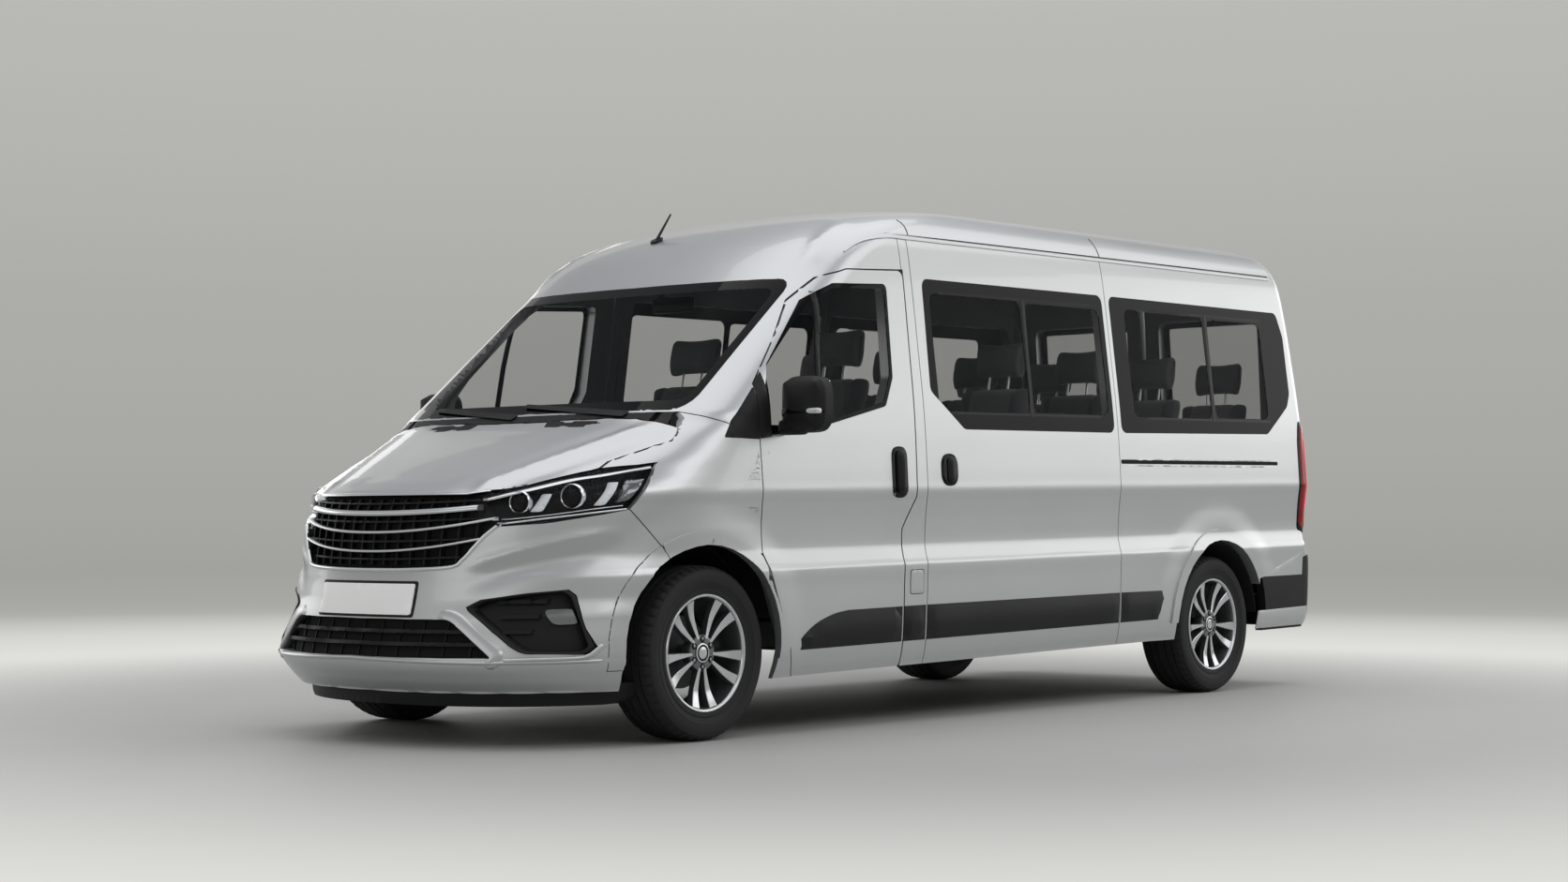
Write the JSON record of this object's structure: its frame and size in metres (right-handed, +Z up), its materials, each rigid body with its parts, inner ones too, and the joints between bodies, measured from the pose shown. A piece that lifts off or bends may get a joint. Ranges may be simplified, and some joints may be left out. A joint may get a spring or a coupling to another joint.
{
  "type": "passenger van",
  "caption": "Long passenger van with a short sloping bonnet, glazed sides, sliding side doors, twin rear doors and alloy wheels; wheels roll, front wheels steer, doors and bonnet open.",
  "frame": {"origin": "on the ground under the middle of the van", "axes": "+X to the nose, +Y to the left side of the van, +Z up"},
  "size_m": [5.7, 2.3212, 2.278],
  "materials": {
    "silver_paint": "metallic silver, clear coated",
    "window_glass": "dark tinted, polished",
    "tyre_rubber": "matt black with a moulded side wall",
    "rim_alloy": "machined face with dark pockets",
    "seat_cloth": "dark grey woven cloth",
    "cabin_plastic": "grained dark grey",
    "black_plastic": "grained black",
    "lamp_clear": "clear moulded lens",
    "lamp_red": "red moulded lens",
    "chassis_steel": "black underbody coating",
    "cast_metal": "as cast"
  },
  "bodies": {
    "body": {"floor_pan": "chassis_steel", "frame_rails": "chassis_steel", "engine_block": "cast_metal", "wheel_liners": "black_plastic", "roof_and_pillars": "silver_paint", "body_side_left": "silver_paint", "body_side_right": "silver_paint", "sliding_door_left": "silver_paint", "sliding_door_right": "silver_paint", "fenders": "silver_paint", "cowl": "black_plastic", "front_bumper": "silver_paint", "grille": "black_plastic", "headlamps": "lamp_clear", "windscreen": "window_glass", "side_glass": "window_glass", "tail_lamps": "lamp_red", "rear_bumper": "black_plastic", "dashboard": "cabin_plastic", "steering_wheel": "cabin_plastic", "front_seats": "seat_cloth", "rear_seats": "seat_cloth", "front_suspension": "chassis_steel", "rear_axle": "chassis_steel", "underbody": "chassis_steel", "door_hinges": "chassis_steel", "wipers": "black_plastic", "antenna": "black_plastic"},
    "door_front_left": {"front_door_left": "silver_paint", "front_glass_left": "window_glass", "mirror_left": "black_plastic"},
    "door_front_right": {"front_door_right": "silver_paint", "front_glass_right": "window_glass", "mirror_right": "black_plastic"},
    "door_rear_left": {"rear_door_left": "silver_paint", "rear_glass_left": "window_glass"},
    "door_rear_right": {"rear_door_right": "silver_paint", "rear_glass_right": "window_glass"},
    "bonnet": {"hood": "silver_paint"},
    "steer_left": {"knuckle_left": "cast_metal"},
    "steer_right": {"knuckle_right": "cast_metal"},
    "wheel_fl": {"tyre_fl": "tyre_rubber", "rim_fl": "rim_alloy"},
    "wheel_fr": {"tyre_fr": "tyre_rubber", "rim_fr": "rim_alloy"},
    "wheel_rl": {"tyre_rl": "tyre_rubber", "rim_rl": "rim_alloy"},
    "wheel_rr": {"tyre_rr": "tyre_rubber", "rim_rr": "rim_alloy"}
  },
  "joints": [
    {"name": "steering", "type": "hinge", "parent": "body", "child": "steer_left", "pos_m": [1.875, 0.715, 0.335], "axis": [0, 0, 1], "range_deg": [-34, 34]},
    {"name": "steering_right", "type": "hinge", "parent": "body", "child": "steer_right", "pos_m": [1.875, -0.715, 0.335], "axis": [0, 0, 1], "range_deg": [-34, 34]},
    {"name": "wheel_fl_spin", "type": "hinge", "parent": "steer_left", "child": "wheel_fl", "pos_m": [1.875, 0.807, 0.335], "axis": [0, 1, 0], "continuous": true},
    {"name": "wheel_fr_spin", "type": "hinge", "parent": "steer_right", "child": "wheel_fr", "pos_m": [1.875, -0.807, 0.335], "axis": [0, 1, 0], "continuous": true},
    {"name": "wheel_rl_spin", "type": "hinge", "parent": "body", "child": "wheel_rl", "pos_m": [-1.875, 0.807, 0.335], "axis": [0, 1, 0], "continuous": true},
    {"name": "wheel_rr_spin", "type": "hinge", "parent": "body", "child": "wheel_rr", "pos_m": [-1.875, -0.807, 0.335], "axis": [0, 1, 0], "continuous": true},
    {"name": "door_front_left_swing", "type": "hinge", "parent": "body", "child": "door_front_left", "pos_m": [1.555, 0.938, 1], "axis": [0, 0, -1], "range_deg": [0, 70]},
    {"name": "door_front_right_swing", "type": "hinge", "parent": "body", "child": "door_front_right", "pos_m": [1.555, -0.938, 1], "axis": [0, 0, 1], "range_deg": [0, 70]},
    {"name": "door_rear_left_swing", "type": "hinge", "parent": "body", "child": "door_rear_left", "pos_m": [-2.832, 0.816, 1.2], "axis": [0, 0, -1], "range_deg": [0, 95]},
    {"name": "door_rear_right_swing", "type": "hinge", "parent": "body", "child": "door_rear_right", "pos_m": [-2.832, -0.816, 1.2], "axis": [0, 0, 1], "range_deg": [0, 95]},
    {"name": "bonnet_lift", "type": "hinge", "parent": "body", "child": "bonnet", "pos_m": [1.888, 0, 1.22904], "axis": [0, -1, 0], "range_deg": [0, 45]}
  ],
  "couplings": [
    {"joint": "steering_right", "follows": "steering", "ratio": 1}
  ]
}
